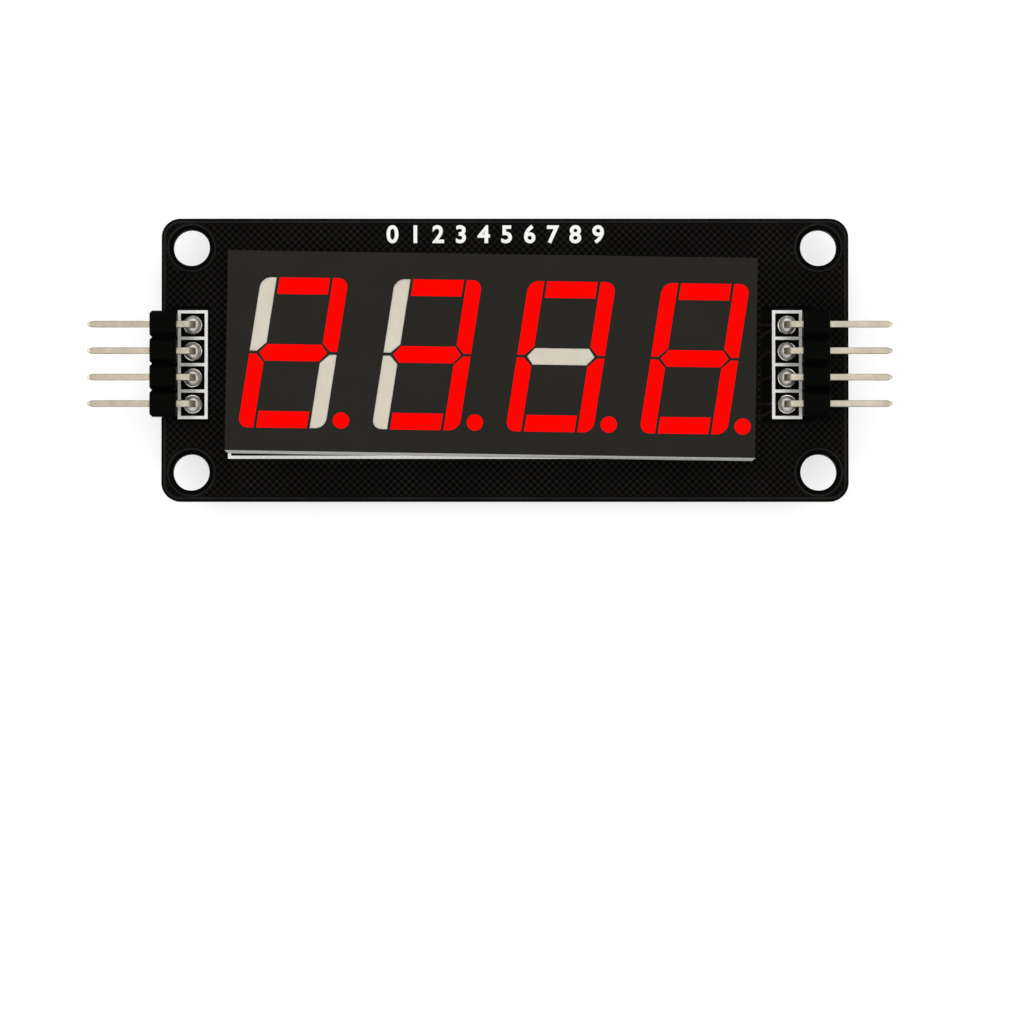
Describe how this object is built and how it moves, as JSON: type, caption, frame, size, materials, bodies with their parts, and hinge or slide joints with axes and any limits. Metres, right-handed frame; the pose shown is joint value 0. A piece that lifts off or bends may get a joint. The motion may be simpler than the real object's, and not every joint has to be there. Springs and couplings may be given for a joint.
{
  "type": "seven segment display module",
  "caption": "Flat rectangular circuit board with corner mounting holes that carries a row of light-up seven segment digits, their driver chip on the back, and angled pin headers at both ends.",
  "frame": {"origin": "centre of the four mounting holes, on the back face of the circuit board", "axes": "+X to the right along the row of digits, +Y up the digits, +Z out of the display's face"},
  "size_m": [0.0771, 0.0272, 0.0121],
  "materials": {
    "board_mask": "black solder mask, half gloss",
    "white_ink": "printed white ink",
    "black_ink": "black marker ink",
    "tin": "tinned copper, satin",
    "solder": "solder, bright",
    "housing_white": "white moulded plastic",
    "face_grey": "dark grey face layer, matt",
    "segment_lit": "epoxy, lit red",
    "segment_unlit": "milky epoxy, unlit",
    "inner_board": "green solder mask",
    "sealing": "cast epoxy",
    "die": "semiconductor die",
    "header_black": "black moulded plastic",
    "header_pin": "tinned brass, satin",
    "chip_black": "dark grey moulding compound",
    "resistor_grey": "dark glass coating",
    "capacitor_brown": "reddish brown ceramic",
    "capacitor_tan": "tan ceramic",
    "capacitor_sand": "sand ceramic",
    "light_base": "white laminate",
    "light_lens": "milky epoxy with a green tint"
  },
  "bodies": {
    "root": {"circuit_board": "board_mask", "front_print": "white_ink", "back_print": "white_ink", "colour_mark": "black_ink", "hole_plating": "tin", "surface_pads": "tin", "display_housing": "housing_white", "display_face": "face_grey", "display_inner_board": "inner_board", "display_sealing": "sealing", "led_dice": "die", "digit_1_lit": "segment_lit", "digit_2_lit": "segment_lit", "digit_3_lit": "segment_lit", "digit_4_lit": "segment_lit", "digit_1_unlit": "segment_unlit", "digit_2_unlit": "segment_unlit", "digit_3_unlit": "segment_unlit", "display_pins": "tin", "display_solder": "solder", "left_header_body": "header_black", "left_header_pins": "header_pin", "left_header_solder": "solder", "right_header_body": "header_black", "right_header_pins": "header_pin", "right_header_solder": "solder", "driver_chip_body": "chip_black", "driver_chip_leads": "tin", "driver_chip_solder": "solder", "resistor_1_body": "resistor_grey", "resistor_2_body": "resistor_grey", "resistor_3_body": "resistor_grey", "resistor_1_ends": "tin", "resistor_2_ends": "tin", "resistor_3_ends": "tin", "capacitor_1_body": "capacitor_brown", "capacitor_2_body": "capacitor_tan", "capacitor_3_body": "capacitor_sand", "capacitor_4_body": "capacitor_sand", "capacitor_1_ends": "tin", "capacitor_2_ends": "tin", "capacitor_3_ends": "tin", "capacitor_4_ends": "tin", "power_light_base": "light_base", "power_light_lens": "light_lens", "power_light_ends": "tin", "chip_part_solder": "solder"}
  },
  "joints": []
}
